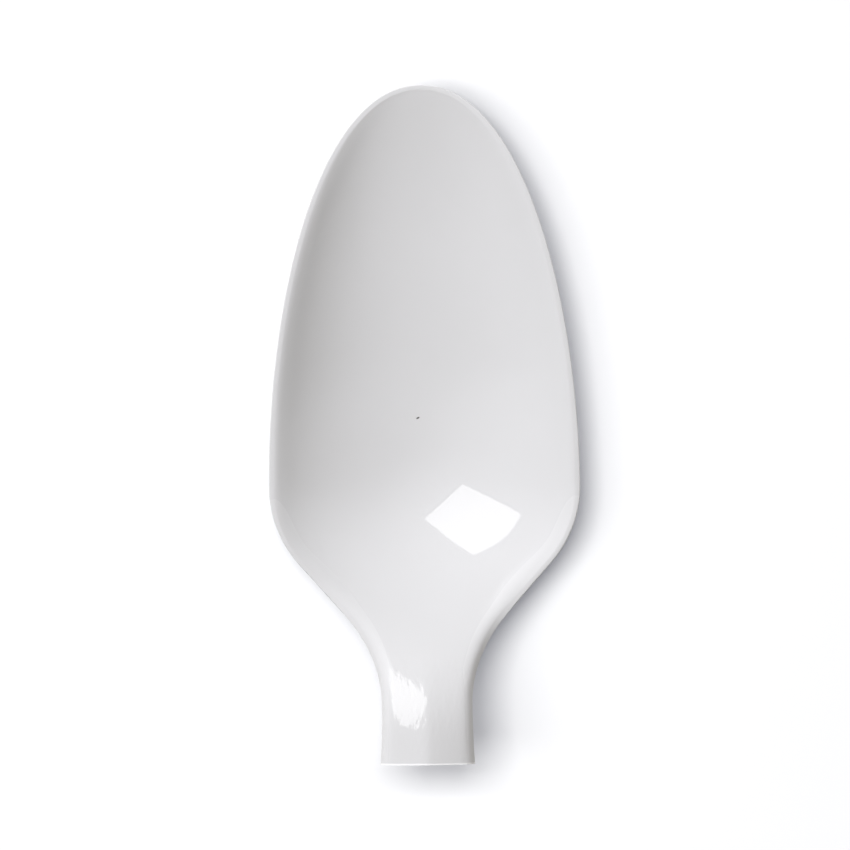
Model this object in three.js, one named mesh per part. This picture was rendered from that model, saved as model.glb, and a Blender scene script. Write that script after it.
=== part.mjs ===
// White plastic spoon: an egg-shaped bowl that runs back into a short arched neck, cut off square.
// Millimetres. +Z is up, the tip of the bowl points along +Y and the cut end faces -Y.
// The origin lies on the plane the spoon rests on, under the middle of its length.

import * as THREE from "three";
import { ParametricGeometry } from "three/addons/geometries/ParametricGeometry.js";
import { mergeVertices } from "three/addons/utils/BufferGeometryUtils.js";

const { clamp, degToRad, lerp, smoothstep } = THREE.MathUtils;

// Outline, seen from above
const LENGTH = 69.8; // tip to cut end
const BOWL_WIDTH = 32.1; // at the widest point
const BOWL_FRONT = 41.4; // tip back to the widest point
const FRONT_POWER = 1.93; // 2, with a tip power of 1, would make the front of the bowl half an ellipse
const TIP_POWER = 0.94; // less is blunter
const SHOULDER_RADIUS = 12;
const FLANK_ANGLE = degToRad(41.7); // between the straight flanks and the long axis
const FILLET_RADIUS = 12.5; // between flank and neck
const NECK_WIDTH = 9; // where the fillets end
const CUT_WIDTH = 9.4;

// The wall has one thickness, and its edge lies between square, at 0, and a full round, at 1
const WALL = 1.0;
const EDGE_ROUNDNESS = 0.5;
const BELLY_FLAT = 0.45; // how much of the belly's bulge is taken off to make the resting face

// Towards the bowl's edge the thickness turns upright, so that the rim stands straight up
const UPRIGHT_START = 0.9; // of the half width
const UPRIGHT_FADE_START = 50; // back from the tip
const UPRIGHT_FADE_END = 58;

// Slopes along the middle of the floor, and the stretches back from the tip over which they change
const TIP_SLOPE = 0.215;
const FRONT_SLOPE = 0.102;
const REAR_SLOPE = 0.66;
const NECK_SLOPE = 0.127;
const TIP_BEND = { start: 0, length: 20 };
const FRONT_BEND = { start: 25, length: 18.4 };
const REAR_BEND = { start: 35.9, length: 16.25 };
const NECK_BEND = { start: 58.2, length: 9.4 };
const DEEPEST = 37.8; // back from the tip

// Slopes along the lip, which dips at the tip, lies level beside the bowl and climbs the flanks to the neck
const LIP_TIP_SLOPE = 0.11;
const LIP_FLANK_SLOPE = 0.55;
const LIP_NECK_SLOPE = 0.05;
const LIP_TIP_BEND = { start: 0, length: 24 };
const LIP_FLANK_BEND = { start: 45.8, length: 12.8 };
const LIP_NECK_BEND = { start: 57.9, length: 9.9 };

// Sections across, as shares of the height between the middle and the edge. The front of the bowl is
// rounded. Farther back the sides run straighter from a soft crease along the middle, and they turn more
// steeply at the edges.
const ROUNDED_SQUARE_SHARE = 0.61; // goes with the square of the width, the rest with its fourth power
const CREASED_STRAIGHT_SHARE = 0.715;
const CREASE_SOFTNESS = 0.475; // of the half width
const CREASED_EDGE_POWER = 4.3;
const CREASE_START = 28; // back from the tip
const CREASE_FULL = 40.4;

// On the neck the crease stands up as a ridge, sharper and with straighter sides
const RIDGE_STRAIGHT_SHARE = 0.82;
const RIDGE_SOFTNESS = 0.1; // of the half width
const RIDGE_START = 54; // back from the tip
const RIDGE_FULL = 62;

// Near the edge the wall turns over to an almost level lip, which takes off some of the section's height.
// It fades out along the flanks.
const LIP_START = 0.965; // of the half width
const LIP_TURN = 0.034; // of the height
const LIP_FADE_START = 40; // back from the tip
const LIP_FADE_END = 49;

// Along the flanks the edges begin to roll down, and round the neck they roll down fully
const ROLL_DROP = 0.38;
const ROLL_POWER = 18; // of the width
const ROLL_START = 43; // back from the tip
const ROLL_FULL = 63;

// Facets: along the outline before and behind the widest point, across each face, round the edge
const FRONT_ROWS = 30;
const REAR_ROWS = 22;
const ACROSS = 28;
const ROUND = 6;
const ROWS = FRONT_ROWS + REAR_ROWS;
const AROUND = 2 * (ACROSS + ROUND);
const FAN_BACK = 12; // back from the tip: rows before this point spread like a fan

// Middle of the wall, half a wall inside the outline
const HALF_WALL = WALL / 2;
const TIP_Y = LENGTH / 2 - HALF_WALL;
const END_Y = -LENGTH / 2;
const WIDEST_Y = LENGTH / 2 - BOWL_FRONT;
const FRONT = BOWL_FRONT - HALF_WALL;
const HALF_BOWL = BOWL_WIDTH / 2 - HALF_WALL;
const HALF_NECK = NECK_WIDTH / 2 - HALF_WALL;
const HALF_CUT = CUT_WIDTH / 2 - HALF_WALL;
const SHOULDER = SHOULDER_RADIUS - HALF_WALL;
const FILLET = FILLET_RADIUS + HALF_WALL;
const SHOULDER_X = HALF_BOWL - SHOULDER;
const FILLET_X = HALF_NECK + FILLET;
const FLANK_TOP_X = SHOULDER_X + SHOULDER * Math.cos(FLANK_ANGLE);
const FLANK_TOP_Y = WIDEST_Y - SHOULDER * Math.sin(FLANK_ANGLE);
const FLANK_FOOT_X = FILLET_X - FILLET * Math.cos(FLANK_ANGLE);
const FLANK_FOOT_Y = FLANK_TOP_Y - (FLANK_TOP_X - FLANK_FOOT_X) / Math.tan(FLANK_ANGLE);
const NECK_Y = FLANK_FOOT_Y - FILLET * Math.sin(FLANK_ANGLE);

// Half the width at one place along the spoon: bowl front, shoulder, flank, fillet and flaring neck
function halfWidth(y) {
  if (y > WIDEST_Y) {
    const forward = clamp((y - WIDEST_Y) / FRONT, 0, 1);
    return HALF_BOWL * (1 - forward ** FRONT_POWER) ** (TIP_POWER / 2);
  }
  if (y > FLANK_TOP_Y) return SHOULDER_X + Math.sqrt(SHOULDER ** 2 - (WIDEST_Y - y) ** 2);
  if (y > FLANK_FOOT_Y) return FLANK_FOOT_X + (y - FLANK_FOOT_Y) * Math.tan(FLANK_ANGLE);
  if (y > NECK_Y) return FILLET_X - Math.sqrt(FILLET ** 2 - (y - NECK_Y) ** 2);
  return HALF_NECK + (HALF_CUT - HALF_NECK) * ((NECK_Y - y) / (NECK_Y - END_Y)) ** 2;
}

// Height gained when the slope grows by one, spread smoothly over a bend
function bendRise(distance, bend) {
  const u = clamp((distance - bend.start) / bend.length, 0, 1);
  const beyond = Math.max(distance - bend.start - bend.length, 0);
  return bend.length * (u ** 3 - u ** 4 / 2) + beyond;
}

// Middle of the floor, measured from the lip at the tip
function floorLine(distance) {
  return (
    -TIP_SLOPE * distance +
    (TIP_SLOPE - FRONT_SLOPE) * bendRise(distance, TIP_BEND) +
    FRONT_SLOPE * bendRise(distance, FRONT_BEND) +
    REAR_SLOPE * bendRise(distance, REAR_BEND) +
    (NECK_SLOPE - REAR_SLOPE) * bendRise(distance, NECK_BEND)
  );
}

// Lip, measured from its height at the tip
function lipLine(distance) {
  return (
    LIP_TIP_SLOPE * (distance - bendRise(distance, LIP_TIP_BEND)) +
    LIP_FLANK_SLOPE * bendRise(distance, LIP_FLANK_BEND) +
    (LIP_NECK_SLOPE - LIP_FLANK_SLOPE) * bendRise(distance, LIP_NECK_BEND)
  );
}

// How far a section has come from the middle's height, at 0, to the edge's height, at 1
function sectionShare(width, distance) {
  const rounded = ROUNDED_SQUARE_SHARE * width ** 2 + (1 - ROUNDED_SQUARE_SHARE) * width ** 4;
  const ridge = smoothstep(distance, RIDGE_START, RIDGE_FULL);
  const soft = lerp(CREASE_SOFTNESS, RIDGE_SOFTNESS, ridge);
  const straight = (Math.hypot(width, soft) - soft) / (Math.hypot(1, soft) - soft);
  const straightShare = lerp(CREASED_STRAIGHT_SHARE, RIDGE_STRAIGHT_SHARE, ridge);
  const creased = lerp(width ** CREASED_EDGE_POWER, straight, straightShare);
  const lip = LIP_TURN * (1 - smoothstep(distance, LIP_FADE_START, LIP_FADE_END));
  const turn = lip * (Math.max(width - LIP_START, 0) / (1 - LIP_START)) ** 2;
  return lerp(rounded, creased, smoothstep(distance, CREASE_START, CREASE_FULL)) - turn;
}

const TIP_HEIGHT = HALF_WALL - BELLY_FLAT - floorLine(DEEPEST);

// Height of the wall's middle above the resting plane
function wallHeight(x, y) {
  const distance = TIP_Y - y;
  const width = x / Math.max(halfWidth(y), 0.001);
  const roll = ROLL_DROP * width ** ROLL_POWER * smoothstep(distance, ROLL_START, ROLL_FULL);
  return TIP_HEIGHT + lerp(floorLine(distance), lipLine(distance), sectionShare(width, distance)) - roll;
}

// Place of a row's edge along the spoon, closer together towards the tip
function rowY(row) {
  if (row > FRONT_ROWS) return lerp(WIDEST_Y, END_Y, (row - FRONT_ROWS) / REAR_ROWS);
  return WIDEST_Y + FRONT * Math.cos((row / FRONT_ROWS) * (Math.PI / 2));
}

// Middle of the wall on one row, from the spoon's axis at 0 to the edge at 1
function wallPoint(across, row) {
  const edgeY = rowY(row);
  const x = across * halfWidth(edgeY);
  const y = lerp(Math.min(edgeY, TIP_Y - FAN_BACK), edgeY, across);
  return new THREE.Vector3(x, y, wallHeight(x, y));
}

// Upward direction square to the wall
function wallNormal(point) {
  const step = 0.01;
  const x = point.x;
  const y = Math.min(point.y, TIP_Y - 2 * step);
  const slopeX = (wallHeight(x + step, y) - wallHeight(Math.abs(x - step), y)) / (2 * step);
  const slopeY = (wallHeight(x, y + step) - wallHeight(x, y - step)) / (2 * step);
  return new THREE.Vector3(x > 0 ? -slopeX : 0, -slopeY, 1).normalize();
}

// Direction along the edge, away from the tip
function edgeHeading(row) {
  if (row === 0) return new THREE.Vector3(1, 0, 0);
  const step = 0.01;
  const forth = Math.min(row + step, ROWS);
  return wallPoint(1, forth).sub(wallPoint(1, row - step));
}

// Point of the skin: turn 0 is the upper face, half a turn the lower face, between them the round edge
function skinPoint(across, row, turn, thickness) {
  const point = wallPoint(Math.abs(across), row);
  const fade = smoothstep(TIP_Y - point.y, UPRIGHT_FADE_START, UPRIGHT_FADE_END);
  const upright = smoothstep(Math.abs(across), UPRIGHT_START, 1) * (1 - fade);
  const upward = wallNormal(point).lerp(new THREE.Vector3(0, 0, 1), upright).normalize();
  const outward = edgeHeading(row).cross(upward).negate().normalize();
  const rise = Math.sign(Math.cos(turn)) * Math.abs(Math.cos(turn)) ** EDGE_ROUNDNESS;
  const reach = Math.abs(Math.sin(turn)) ** EDGE_ROUNDNESS;
  point.addScaledVector(upward, HALF_WALL * thickness * rise);
  point.addScaledVector(outward, HALF_WALL * thickness * reach);
  point.x *= Math.sign(across);
  point.y = row === ROWS ? END_Y : point.y;
  point.z = Math.max(point.z, 0);
  return point;
}

// Round the section and along the spoon: over the top, round one edge, back below and round the other.
// The last row draws the cut end together on the middle of the wall, which closes it with a flat face.
function skin(u, v, target) {
  const step = u * AROUND;
  const row = v * (ROWS + 1);
  let side = 1 - (2 * step) / ACROSS;
  let turn = 0;
  if (step > 2 * ACROSS + ROUND) {
    side = 1;
    turn = (Math.PI * (AROUND - step)) / ROUND;
  } else if (step > ACROSS + ROUND) {
    side = (2 * (step - ACROSS - ROUND)) / ACROSS - 1;
    turn = Math.PI;
  } else if (step > ACROSS) {
    side = -1;
    turn = (Math.PI * (step - ACROSS)) / ROUND;
  }
  const across = Math.sin((side * Math.PI) / 2);
  target.copy(skinPoint(across, Math.min(row, ROWS), turn, Math.min(ROWS + 1 - row, 1)));
}

// Join the seams of a grid surface and leave out the triangles that close up to nothing
function closedSurface(grid) {
  grid.deleteAttribute("normal");
  grid.deleteAttribute("uv");
  const joined = mergeVertices(grid, 0.0001);
  const corners = joined.getIndex().array;
  const kept = [];
  for (let i = 0; i < corners.length; i += 3) {
    const [a, b, c] = corners.slice(i, i + 3);
    if (a !== b && b !== c && c !== a) kept.push(a, b, c);
  }
  joined.setIndex(kept);
  joined.computeVertexNormals();
  return joined;
}

const plastic = new THREE.MeshStandardMaterial({ color: 0xe9e9ea, roughness: 0.2, metalness: 0 });
const spoon = new THREE.Mesh(closedSurface(new ParametricGeometry(skin, AROUND, ROWS + 1)), plastic);
spoon.name = "spoon";

const assembly = new THREE.Group();
assembly.name = "plastic_spoon";
assembly.add(spoon);

export default assembly;
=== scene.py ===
"""A white moulded plastic spoon, seen from straight above on a white table."""

import math

import bmesh
import bpy
import numpy as np
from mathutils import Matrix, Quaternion, Vector


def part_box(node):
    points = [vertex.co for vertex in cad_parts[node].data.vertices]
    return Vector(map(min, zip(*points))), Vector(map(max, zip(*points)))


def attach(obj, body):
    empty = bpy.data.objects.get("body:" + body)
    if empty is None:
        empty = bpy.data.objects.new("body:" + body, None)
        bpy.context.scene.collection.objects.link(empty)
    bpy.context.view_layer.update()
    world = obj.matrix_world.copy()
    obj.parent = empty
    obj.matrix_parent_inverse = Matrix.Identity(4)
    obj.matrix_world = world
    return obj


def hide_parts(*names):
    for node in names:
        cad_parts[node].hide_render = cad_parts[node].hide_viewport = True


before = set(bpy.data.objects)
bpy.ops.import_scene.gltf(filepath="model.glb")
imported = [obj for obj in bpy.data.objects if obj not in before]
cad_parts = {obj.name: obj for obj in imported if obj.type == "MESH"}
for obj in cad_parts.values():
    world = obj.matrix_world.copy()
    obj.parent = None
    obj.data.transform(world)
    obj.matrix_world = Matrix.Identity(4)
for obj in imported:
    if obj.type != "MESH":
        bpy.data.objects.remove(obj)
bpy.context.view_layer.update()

MM = 0.001

# Outline, seen from above, in millimetres; length and width come from the frame
LOW, HIGH = (np.array(corner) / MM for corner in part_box("spoon"))
LENGTH = HIGH[1] - LOW[1]
BOWL_WIDTH = HIGH[0] - LOW[0]
BOWL_FRONT = 41.4  # tip back to the widest point
FRONT_POWER = 1.93  # with both powers at 2 and 1 the front would be half an ellipse
TIP_POWER = 0.94
SHOULDER_RADIUS = 12
FLANK_ANGLE = math.radians(41.7)  # between the straight flanks and the long axis
FILLET_RADIUS = 12.5  # between flank and neck
NECK_WIDTH = 9  # where the fillets end
CUT_WIDTH = 9.4

# The wall has one thickness, and its edge lies between square, at 0, and a full round, at 1
WALL = 1.0
EDGE_ROUNDNESS = 0.16
BELLY_FLAT = 0.45  # taken off the belly's bulge to make the resting face

# Towards the bowl's edge the thickness turns upright, so that the rim stands straight up
UPRIGHT_START = 0.9
UPRIGHT_FADE_START = 50
UPRIGHT_FADE_END = 58

# Slopes along the middle of the floor, and the stretches (start, length) over which they change
TIP_SLOPE = 0.215
FRONT_SLOPE = 0.102
REAR_SLOPE = 0.66
NECK_SLOPE = 0.127
TIP_BEND = (0, 20)
FRONT_BEND = (25, 18.4)
REAR_BEND = (35.9, 16.25)
NECK_BEND = (58.2, 9.4)
DEEPEST = 37.8  # back from the tip

# Slopes along the lip, which dips at the tip, lies level beside the bowl and climbs the flanks to the neck
LIP_TIP_SLOPE = 0.11
LIP_FLANK_SLOPE = 0.55
LIP_NECK_SLOPE = 0.05
LIP_TIP_BEND = (0, 24)
LIP_FLANK_BEND = (45.8, 12.8)
LIP_NECK_BEND = (57.9, 9.9)

# Sections across, as shares of the height between the middle and the edge
ROUNDED_SQUARE_SHARE = 0.61
CREASED_STRAIGHT_SHARE = 0.715
CREASE_SOFTNESS = 0.475
CREASED_EDGE_POWER = 4.3
CREASE_START = 28
CREASE_FULL = 40.4

# On the neck the crease stands up as a ridge, sharper and with straighter sides
RIDGE_STRAIGHT_SHARE = 0.82
RIDGE_SOFTNESS = 0.1
RIDGE_START = 54
RIDGE_FULL = 62

# Near the edge the wall turns over to an almost level lip, which takes off some of the section's height
# and fades out along the flanks
LIP_START = 0.965
LIP_TURN = 0.034
LIP_FADE_START = 40
LIP_FADE_END = 49

# Along the flanks the edges begin to roll down, and round the neck they roll down fully
ROLL_DROP = 0.38
ROLL_POWER = 18
ROLL_START = 43
ROLL_FULL = 63

# A fine ridge runs round the rim where the halves of the mould met
PARTING_RIDGE = 0.02
PARTING_WIDTH = 0.1

# Flow marks on top of the neck: waves as (length, heading from +X, phase), all of one height, and the
# stretches back from the tip and out from the axis over which they come and go
FLOW_WAVES = ((1.05, 0.1, 0.4), (0.7, -0.35, 2.1), (1.9, 0.5, 4.0))
FLOW_HEIGHT = 0.0022
FLOW_START = (56, 61)
FLOW_END = (65, 70)
FLOW_EDGE = (0.6, 0.95)

# Grid of the skin: rows along the outline, points across each face and round the edge, how far back from
# the tip the rows spread like a fan, and the sharpest angle between faces that is shaded as a curve
FRONT_ROWS = 110
REAR_ROWS = 100
ACROSS = 96
ROUND = 16
FAN_BACK = 12
SMOOTH_LIMIT = math.radians(40)

# Step for slopes, width taken at the very tip, and distance within which points are one
SLOPE_STEP = 0.01
LEAST_WIDTH = 0.001
WELD = 0.0001

# Middle of the wall, half a wall inside the outline
HALF_WALL = WALL / 2
TIP_Y = LENGTH / 2 - HALF_WALL
END_Y = -LENGTH / 2
WIDEST_Y = LENGTH / 2 - BOWL_FRONT
FRONT = BOWL_FRONT - HALF_WALL
HALF_BOWL = BOWL_WIDTH / 2 - HALF_WALL
HALF_NECK = NECK_WIDTH / 2 - HALF_WALL
HALF_CUT = CUT_WIDTH / 2 - HALF_WALL
SHOULDER = SHOULDER_RADIUS - HALF_WALL
FILLET = FILLET_RADIUS + HALF_WALL
SHOULDER_X = HALF_BOWL - SHOULDER
FILLET_X = HALF_NECK + FILLET
FLANK_TOP_X = SHOULDER_X + SHOULDER * math.cos(FLANK_ANGLE)
FLANK_TOP_Y = WIDEST_Y - SHOULDER * math.sin(FLANK_ANGLE)
FLANK_FOOT_X = FILLET_X - FILLET * math.cos(FLANK_ANGLE)
FLANK_FOOT_Y = FLANK_TOP_Y - (FLANK_TOP_X - FLANK_FOOT_X) / math.tan(FLANK_ANGLE)
NECK_Y = FLANK_FOOT_Y - FILLET * math.sin(FLANK_ANGLE)

# Plastic: its white and the roughness of its polish, which vary a little, sizes and heights of its clouds,
# its waviness and the fine streaks on the neck, how far in from the edge it is duller, the width of the
# strip along the cut that is painted pure white as a painted highlight, and the one dark speck
PIGMENT = ("#DFDFDF", "#DBDBDB")
POLISH = (0.025, 0.045)
DULLNESS = 0.7
REFRACTION = 1.5
CLOUD_SIZE = 9
WAVINESS_SIZE = 1.6
WAVINESS_HEIGHT = 0.0012
STREAK_SIZE = 0.3
STREAK_STRETCH = 3
STREAK_HEIGHT = 0.02
STREAK_START = (56, 60)
RIM_START = 0.86
RIM_DULLING = (38, 48)
FLANK_RIM_START = 0.7
FLANK_RIM_ON = (46, 52)
FLANK_RIM_OFF = (59.5, 62.5)
PAINTED_CUT_HIGHLIGHT = 0.2
SPECK_PLACE = (-0.61, 0.54, 0.62)
SPECK_SIZE = (0.21, 0.1, 0.2)
SPECK_TURN = math.radians(25)
SPECK_EDGE = (0.6, 1.2)
SPECK_COLOUR = "#4A4642"

# Photograph's frame and light
VIEW_WIDTH = 87.5
VIEW_PLANE = 7.0
CAMERA_DISTANCE = 700
CAMERA_SIDE = 0.12
CAMERA_BACK = -0.2
CAMERA_ROLL = math.radians(-0.7)
SENSOR = 36
KEY_DIRECTION = Vector((-0.475, 0.642, 1.0))
PANEL_DIRECTION = Vector((-0.451, 0.722, 1.0))
OVERHEAD_DIRECTION = Vector((-0.124, 0.17, 1.0))
ASLANT_DIRECTION = Vector((-0.43, -0.09, 1.0))
LAMP_DISTANCE = 900
PANEL_TURN = math.radians(50)
CLOTH_SIZE = (800, 800)
PANEL_SIZE = (530, 400)
OVERHEAD_SIZE = (494, 210)
ASLANT_SIZE = (638, 270)
PANEL_LEVEL = 0.26
KEY_LEVEL = 1.07
OVERHEAD_LEVEL = 0.69
ASLANT_LEVEL = 0.47
FILL_LEVEL = 0.12
FILL_TINT = "#FFF0D8"
KEY_TINT = "#F9FAFF"
FLOOR_SIZE = 4000
FLOOR_COLOUR = 0.8
FLOOR_LIFT = 0.12
LIFT_TINT = "#C8D8FF"


def linear(code):
    """An sRGB hex colour as linear RGBA."""
    channels = [int(code[i : i + 2], 16) / 255 for i in (1, 3, 5)]
    return tuple(c / 12.92 if c <= 0.04045 else ((c + 0.055) / 1.055) ** 2.4 for c in channels) + (1.0,)


def node(tree, kind, inputs=None, **settings):
    """Adds a node, sets its properties, and sets or links its inputs by name or number."""
    made = tree.nodes.new(kind)
    for name, value in settings.items():
        setattr(made, name, value)
    for key, value in (inputs or {}).items():
        if isinstance(value, bpy.types.NodeSocket):
            tree.links.new(value, made.inputs[key])
        else:
            made.inputs[key].default_value = value
    return made


def mix(tree, factor, low, high):
    """A colour that goes from the low one to the high one with the factor."""
    return node(tree, "ShaderNodeMix", {0: factor, 6: low, 7: high}, data_type="RGBA").outputs[2]


def noise(tree, place, size, detail):
    """Soft noise between 0 and 1 whose features are about as large as the size in millimetres."""
    inputs = {"Vector": place, "Scale": 1 / (size * MM), "Detail": detail}
    return node(tree, "ShaderNodeTexNoise", inputs).outputs[0]


def empty_material(name):
    material = bpy.data.materials.new(name)
    material.use_nodes = True
    material.node_tree.nodes.clear()
    return material, material.node_tree


def seen_directly(tree):
    """1 for what the camera sees, also in gloss or through a clear wall, and 0 for light that bounces."""
    path = node(tree, "ShaderNodeLightPath")
    seen = path.outputs["Is Camera Ray"]
    for ray in ("Is Glossy Ray", "Is Transmission Ray"):
        seen = node(tree, "ShaderNodeMath", {0: seen, 1: path.outputs[ray]}, operation="MAXIMUM").outputs[0]
    return seen


def half_width(y):
    """Half the width at y: a blunted half ellipse, an arc, a straight flank, an arc and a flaring neck."""
    forward = np.clip((y - WIDEST_Y) / FRONT, 0, 1)
    front = HALF_BOWL * (1 - forward**FRONT_POWER) ** (TIP_POWER / 2)
    shoulder = SHOULDER_X + np.sqrt(np.maximum(SHOULDER**2 - (WIDEST_Y - y) ** 2, 0))
    flank = FLANK_FOOT_X + (y - FLANK_FOOT_Y) * math.tan(FLANK_ANGLE)
    fillet = FILLET_X - np.sqrt(np.maximum(FILLET**2 - (y - NECK_Y) ** 2, 0))
    neck = HALF_NECK + (HALF_CUT - HALF_NECK) * ((NECK_Y - y) / (NECK_Y - END_Y)) ** 2
    before = [y > WIDEST_Y, y > FLANK_TOP_Y, y > FLANK_FOOT_Y, y > NECK_Y]
    return np.select(before, [front, shoulder, flank, fillet], neck)


def smooth_step(value, start, end):
    """0 before the start and 1 after the end, with a cubic between."""
    u = np.clip((value - start) / (end - start), 0, 1)
    return u**2 * (3 - 2 * u)


def bend_rise(distance, bend):
    """Height gained when the slope grows by one, following a smooth step over the bend."""
    start, length = bend
    u = np.clip((distance - start) / length, 0, 1)
    return length * (u**3 - u**4 / 2) + np.maximum(distance - start - length, 0)


def floor_line(distance):
    """Middle of the floor, measured from the lip at the tip: one slope after another, joined by bends."""
    return (
        -TIP_SLOPE * distance
        + (TIP_SLOPE - FRONT_SLOPE) * bend_rise(distance, TIP_BEND)
        + FRONT_SLOPE * bend_rise(distance, FRONT_BEND)
        + REAR_SLOPE * bend_rise(distance, REAR_BEND)
        + (NECK_SLOPE - REAR_SLOPE) * bend_rise(distance, NECK_BEND)
    )


def lip_line(distance):
    """Lip, measured from its height at the tip: level beside the bowl, with bends before and behind."""
    return (
        LIP_TIP_SLOPE * (distance - bend_rise(distance, LIP_TIP_BEND))
        + LIP_FLANK_SLOPE * bend_rise(distance, LIP_FLANK_BEND)
        + (LIP_NECK_SLOPE - LIP_FLANK_SLOPE) * bend_rise(distance, LIP_NECK_BEND)
    )


def section_share(width, distance):
    """How far a section has come from the middle's height, at 0, to the edge's height, at 1.

    In front it goes with the square and the fourth power of the width. Farther back it is a hyperbola,
    straight but for a soft crease in the middle, which is a sharper ridge on the neck, with a higher power
    that turns the edges. A square term near the edge takes it over to the lip.
    """
    rounded = ROUNDED_SQUARE_SHARE * width**2 + (1 - ROUNDED_SQUARE_SHARE) * width**4
    ridge = smooth_step(distance, RIDGE_START, RIDGE_FULL)
    soft = CREASE_SOFTNESS + (RIDGE_SOFTNESS - CREASE_SOFTNESS) * ridge
    straight = (np.hypot(width, soft) - soft) / (np.hypot(1, soft) - soft)
    straight_share = CREASED_STRAIGHT_SHARE + (RIDGE_STRAIGHT_SHARE - CREASED_STRAIGHT_SHARE) * ridge
    creased = straight_share * straight + (1 - straight_share) * width**CREASED_EDGE_POWER
    lip = LIP_TURN * (1 - smooth_step(distance, LIP_FADE_START, LIP_FADE_END))
    turn = lip * (np.maximum(width - LIP_START, 0) / (1 - LIP_START)) ** 2
    return rounded + (creased - rounded) * smooth_step(distance, CREASE_START, CREASE_FULL) - turn


def wall_height(x, y):
    """Height of the wall's middle above the table: the floor line at the axis, the lip at the edge."""
    distance = TIP_Y - y
    width = np.abs(x) / np.maximum(half_width(y), LEAST_WIDTH)
    middle = floor_line(distance)
    tip = HALF_WALL - BELLY_FLAT - floor_line(DEEPEST)
    roll = ROLL_DROP * width**ROLL_POWER * smooth_step(distance, ROLL_START, ROLL_FULL)
    return tip + middle + (lip_line(distance) - middle) * section_share(width, distance) - roll


def unit(vectors):
    return vectors / np.linalg.norm(vectors, axis=-1, keepdims=True)


def wall_normal(x, y):
    """Upward direction square to the wall, from the slopes of its height."""
    step = SLOPE_STEP
    y = np.minimum(y, TIP_Y - 2 * step)
    slope_x = (wall_height(x + step, y) - wall_height(x - step, y)) / (2 * step)
    slope_y = (wall_height(x, y + step) - wall_height(x, y - step)) / (2 * step)
    return unit(np.stack([-slope_x, -slope_y, np.ones_like(x)], axis=-1))


def flow_marks(x, y):
    """Height of the flow marks: sine waves added up, fading in and out along the neck and to its edges."""
    distance = TIP_Y - y
    fade = smooth_step(distance, *FLOW_START) * (1 - smooth_step(distance, *FLOW_END))
    fade *= 1 - smooth_step(np.abs(x) / np.maximum(half_width(y), LEAST_WIDTH), *FLOW_EDGE)
    waves = [
        np.sin(math.tau * (x * math.cos(heading) + y * math.sin(heading)) / length + phase)
        for length, heading, phase in FLOW_WAVES
    ]
    return FLOW_HEIGHT * fade * sum(waves)


def spoon_grid():
    """Rows from tip to cut end, each a loop over the top, round one edge, back below and round the other.

    A point is the wall's middle, moved half a wall along the normal turned towards the edge: not at all
    on the upper face, by half a turn on the lower face, and by all between round the edge. Near the edge
    the normal gives way to the upright, so that the rim stands straight up. The last row draws the cut
    end together on the wall's middle, which closes it with a flat face.
    """
    angle = np.linspace(0, math.pi / 2, FRONT_ROWS + 1)
    edge_y = np.concatenate(
        [WIDEST_Y + FRONT * np.cos(angle), np.linspace(WIDEST_Y, END_Y, REAR_ROWS + 1)[1:]]
    )
    edge_x = half_width(edge_y)
    face = np.sin(np.linspace(1, -1, ACROSS + 1) * math.pi / 2)
    foot = (PARTING_WIDTH / WALL) ** (1 / EDGE_ROUNDNESS)
    ridge = math.pi / 2 + np.array([-foot, foot])
    rounding = np.sort(np.concatenate([np.linspace(0, math.pi, ROUND + 1)[1:-1], ridge]))
    across = np.concatenate([face, np.full(ROUND + 1, -1.0), face[::-1], np.full(ROUND + 1, 1.0)])
    turn = np.concatenate([np.zeros(ACROSS + 1), rounding, np.full(ACROSS + 1, math.pi), rounding[::-1]])

    share = np.abs(across)[None, :]
    x = share * edge_x[:, None]
    spine_y = np.minimum(edge_y, TIP_Y - FAN_BACK)[:, None]
    y = spine_y + (edge_y[:, None] - spine_y) * share
    middle = np.stack([x, y, wall_height(x, y)], axis=-1)

    upright = smooth_step(share, UPRIGHT_START, 1)
    upright = upright * (1 - smooth_step(TIP_Y - y, UPRIGHT_FADE_START, UPRIGHT_FADE_END))
    upright = upright[:, :, None]
    upward = unit(wall_normal(x, y) * (1 - upright) + np.array([0, 0, 1]) * upright)
    edge = np.stack([edge_x, edge_y, wall_height(edge_x, edge_y)], axis=-1)
    heading = np.gradient(edge, axis=0)
    heading[0] = (1, 0, 0)
    outward = unit(np.cross(upward, heading[:, None, :]))
    rise = np.sign(np.cos(turn)) * np.abs(np.cos(turn)) ** EDGE_ROUNDNESS
    reach = np.abs(np.sin(turn)) ** EDGE_ROUNDNESS
    reach[np.abs(np.sin(turn)) < WELD] = 0
    ridge_height = PARTING_RIDGE / HALF_WALL
    reach = reach * (1 - ridge_height) + ridge_height * np.maximum(1 - np.abs(turn - math.pi / 2) / foot, 0)
    skin = middle + HALF_WALL * (rise[:, None] * upward + reach[:, None] * outward)
    skin[-1, :, 1] = END_Y
    skin[:, :, 2] = np.maximum(skin[:, :, 2], 0)
    skin[0, :, 0] = 0
    grid = np.concatenate([skin, middle[-1:]])
    grid[:, :, 0] *= np.sign(across)
    upper = turn == 0
    grid[:-1, upper, 2] += flow_marks(grid[:-1, upper, 0], grid[:-1, upper, 1])
    distance = TIP_Y - y
    flank = smooth_step(distance, *FLANK_RIM_ON) * (1 - smooth_step(distance, *FLANK_RIM_OFF))
    start = RIM_START + (FLANK_RIM_START - RIM_START) * flank
    dull = smooth_step(share, start, 1) * smooth_step(distance, *RIM_DULLING)
    rim = np.concatenate([dull, dull[-1:]])
    return grid, rim


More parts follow.
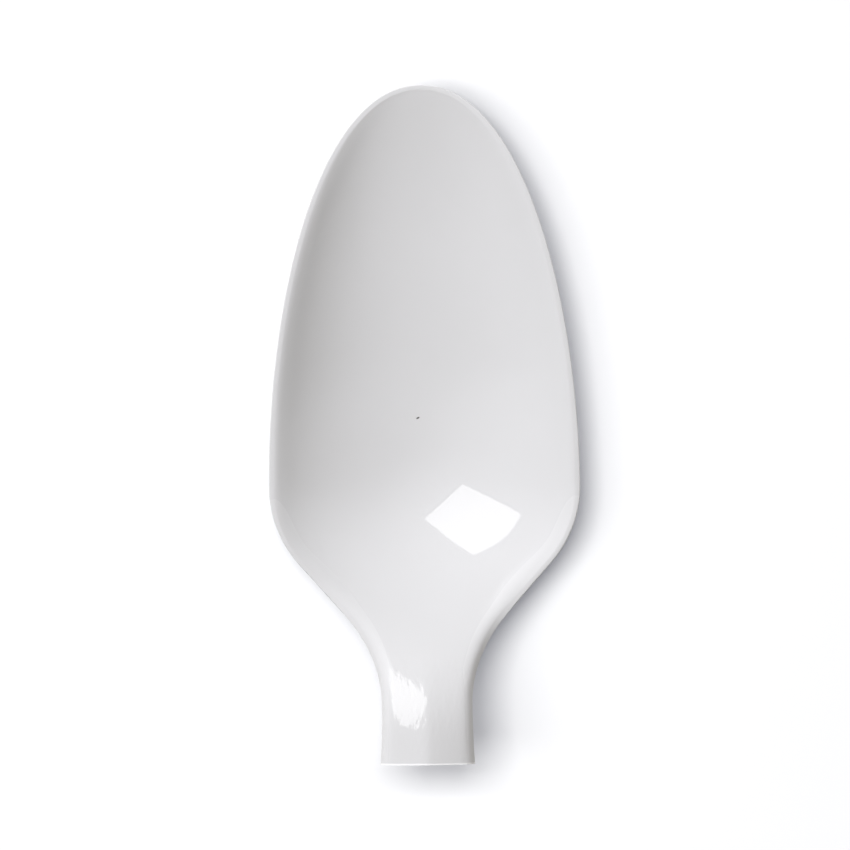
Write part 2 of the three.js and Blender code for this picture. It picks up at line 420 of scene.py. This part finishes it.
def grid_mesh(name, grid, rim):
    """A closed mesh from a grid whose columns run round, with its seams merged and its flat end sharp.

    The attribute rim is 1 on the rim and 0 on the faces.
    """
    rows, columns = grid.shape[:2]
    index = np.arange(rows * columns).reshape(rows, columns)
    following = np.roll(index, -1, axis=1)
    quads = np.stack([index[:-1], following[:-1], following[1:], index[1:]], axis=-1).reshape(-1, 4)
    mesh = bpy.data.meshes.new(name)
    mesh.from_pydata((grid.reshape(-1, 3) * MM).tolist(), [], quads.tolist())
    mesh.attributes.new("rim", "FLOAT", "POINT").data.foreach_set("value", rim.ravel())
    shell = bmesh.new()
    shell.from_mesh(mesh)
    bmesh.ops.remove_doubles(shell, verts=shell.verts, dist=WELD * MM)
    shell.to_mesh(mesh)
    shell.free()
    mesh.shade_smooth()
    mesh.set_sharp_from_angle(angle=SMOOTH_LIMIT)
    return mesh


def moulded_polystyrene():
    """High-impact polystyrene from a polished mould.

    Pigment makes it white all through, with clouds too faint to see one by one and a dark speck. The polish
    gives sharp reflections, which a waviness of about a micrometre frays, and fine streaks along the neck
    break them up. The rim is duller, and so is a strip along the cut. That strip is also painted pure
    white, a painted highlight for the cut's bright edge.
    """
    material, tree = empty_material("moulded_polystyrene")
    place = node(tree, "ShaderNodeTexCoord").outputs["Object"]
    clouds = noise(tree, place, CLOUD_SIZE, 2.0)
    pigment = mix(tree, clouds, *map(linear, PIGMENT))
    along = node(tree, "ShaderNodeSeparateXYZ", {0: place}).outputs["Y"]
    # Strip along the cut end: below, it is painted pure white as a painted highlight for the cut's bright
    # edge, and further down it makes the cut duller
    cut = node(tree, "ShaderNodeMapRange", {
        "Value": along, "From Min": (END_Y + PAINTED_CUT_HIGHLIGHT) * MM, "From Max": (END_Y + PAINTED_CUT_HIGHLIGHT / 2) * MM,
    }).outputs[0]
    # Painted highlight: the strip along the cut is painted pure white
    white = mix(tree, cut, pigment, linear("#FFFFFF"))

    offset = node(tree, "ShaderNodeMapping", vector_type="TEXTURE", inputs={
        "Vector": place, "Location": Vector(SPECK_PLACE) * MM, "Rotation": (0, 0, SPECK_TURN),
        "Scale": Vector(SPECK_SIZE) * MM,
    })
    reach = node(tree, "ShaderNodeVectorMath", {0: offset.outputs[0]}, operation="LENGTH").outputs["Value"]
    speck = node(tree, "ShaderNodeMapRange", {
        "Value": reach, "From Min": SPECK_EDGE[0], "From Max": SPECK_EDGE[1], "To Min": 1.0, "To Max": 0.0,
    })
    colour = mix(tree, speck.outputs[0], white, linear(SPECK_COLOUR))

    rim = node(tree, "ShaderNodeAttribute", attribute_name="rim").outputs["Fac"]
    polish = node(tree, "ShaderNodeMapRange", {"Value": clouds, "To Min": POLISH[0], "To Max": POLISH[1]})
    dull = node(tree, "ShaderNodeMath", {0: rim, 1: cut}, operation="MAXIMUM").outputs[0]
    gloss = node(tree, "ShaderNodeMapRange", {
        "Value": dull, "To Min": polish.outputs[0], "To Max": DULLNESS,
    })

    waviness = noise(tree, place, WAVINESS_SIZE, 1.0)
    lengthwise = node(tree, "ShaderNodeMapping", {"Vector": place, "Scale": (1, 1 / STREAK_STRETCH, 1)})
    streaks = noise(tree, lengthwise.outputs[0], STREAK_SIZE, 1.0)
    start, end = (TIP_Y - distance for distance in STREAK_START)
    streaked = node(tree, "ShaderNodeMapRange", {
        "Value": along, "From Min": start * MM, "From Max": end * MM,
        "To Max": STREAK_HEIGHT / WAVINESS_HEIGHT,
    })
    height = node(tree, "ShaderNodeMath", {0: streaks, 1: streaked.outputs[0], 2: waviness},
                  operation="MULTIPLY_ADD")
    bump = node(tree, "ShaderNodeBump", {"Height": height.outputs[0], "Distance": WAVINESS_HEIGHT * MM})
    shader = node(tree, "ShaderNodeBsdfPrincipled", {
        "Base Color": colour, "Roughness": gloss.outputs[0], "IOR": REFRACTION, "Normal": bump.outputs[0],
    })
    node(tree, "ShaderNodeOutputMaterial", {"Surface": shader.outputs[0]})
    return material


def white_table():
    """Matt white table, lifted to white where it is seen, so that only the spoon's shadow stays."""
    material, tree = empty_material("matt_white_table")
    seen = seen_directly(tree)
    lift = node(tree, "ShaderNodeMapRange", {"Value": seen, "To Min": 0.0, "To Max": FLOOR_LIFT})
    matt = node(tree, "ShaderNodeBsdfDiffuse", {"Color": (FLOOR_COLOUR, FLOOR_COLOUR, FLOOR_COLOUR, 1.0)})
    glow = node(tree, "ShaderNodeEmission", {"Color": linear(LIFT_TINT), "Strength": lift.outputs[0]})
    both = node(tree, "ShaderNodeAddShader", {0: matt.outputs[0], 1: glow.outputs[0]})
    node(tree, "ShaderNodeOutputMaterial", {"Surface": both.outputs[0]})
    return material


def add_object(name, data):
    made = bpy.data.objects.new(name, data)
    bpy.context.scene.collection.objects.link(made)
    return made


def add_spoon():
    spoon = add_object("moulded_spoon", grid_mesh("moulded_spoon", *spoon_grid()))
    spoon.data.materials.append(moulded_polystyrene())
    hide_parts("spoon")
    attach(spoon, "root")
    return spoon


def add_table():
    half = FLOOR_SIZE / 2 * MM
    corners = [(-half, -half, 0), (half, -half, 0), (half, half, 0), (-half, half, 0)]
    mesh = bpy.data.meshes.new("table")
    mesh.from_pydata(corners, [], [(0, 1, 2, 3)])
    mesh.materials.append(white_table())
    table = add_object("table", mesh)
    return table


def add_panel(name, towards, turn, size, level, lit):
    """A flat light facing the spoon, which would light level ground to the level given."""
    direction = towards.normalized()
    distance = LAMP_DISTANCE * MM
    lamp = bpy.data.lights.new(name, "AREA")
    lamp.shape = "RECTANGLE"
    lamp.size = size[0] * MM
    lamp.size_y = size[1] * MM
    lamp.energy = level * (math.pi * distance) ** 2 / direction.z
    panel = add_object(name, lamp)
    panel.location = direction * distance
    tilt = Vector((0, 0, 1)).rotation_difference(direction)
    panel.rotation_euler = (tilt @ Quaternion((0, 0, 1), turn)).to_euler()
    panel.light_linking.receiver_collection = bpy.data.collections.new(name)
    panel.light_linking.receiver_collection.objects.link(lit)
    return panel


def add_light(spoon, table):
    """A softbox up on the left behind the spoon, whose bright panel shows in the gloss, and an even fill.

    The table has lamps of its own, one overhead and one aslant, which give the photograph's shadow: short,
    darkest beside the spoon and only on its right and below it.
    """
    cloth = add_panel("softbox_cloth", KEY_DIRECTION, 0, CLOTH_SIZE, KEY_LEVEL, spoon)
    cloth.visible_glossy = False
    cloth.data.color = linear(KEY_TINT)[:3]
    panel = add_panel("softbox_panel", PANEL_DIRECTION, PANEL_TURN, PANEL_SIZE, PANEL_LEVEL, spoon)
    panel.visible_diffuse = False
    overhead = add_panel("overhead", OVERHEAD_DIRECTION, 0, OVERHEAD_SIZE, OVERHEAD_LEVEL, table)
    overhead.visible_glossy = False
    aslant = add_panel("aslant", ASLANT_DIRECTION, 0, ASLANT_SIZE, ASLANT_LEVEL, table)
    aslant.visible_glossy = False

    world = bpy.data.worlds.new("white_room")
    bpy.context.scene.world = world
    world.use_nodes = True
    tree = world.node_tree
    tree.nodes.clear()
    seen = seen_directly(tree)
    level = node(tree, "ShaderNodeMapRange", {"Value": seen, "To Min": FILL_LEVEL, "To Max": 1.0})
    tint = mix(tree, seen, linear(FILL_TINT), linear("#FFFFFF"))
    white = node(tree, "ShaderNodeBackground", {"Color": tint, "Strength": level.outputs[0]})
    node(tree, "ShaderNodeOutputWorld", {"Surface": white.outputs[0]})


def add_camera():
    """Camera straight above the middle of the spoon, a touch turned, framed like the photograph."""
    data = bpy.data.cameras.new("camera")
    data.sensor_width = SENSOR
    data.lens = SENSOR * CAMERA_DISTANCE / VIEW_WIDTH
    camera = add_object("camera", data)
    camera.location = Vector((CAMERA_SIDE, CAMERA_BACK, VIEW_PLANE + CAMERA_DISTANCE)) * MM
    camera.rotation_euler = (0, 0, CAMERA_ROLL)
    bpy.context.scene.camera = camera


add_light(add_spoon(), add_table())
add_camera()
bpy.context.scene.view_settings.view_transform = "Standard"
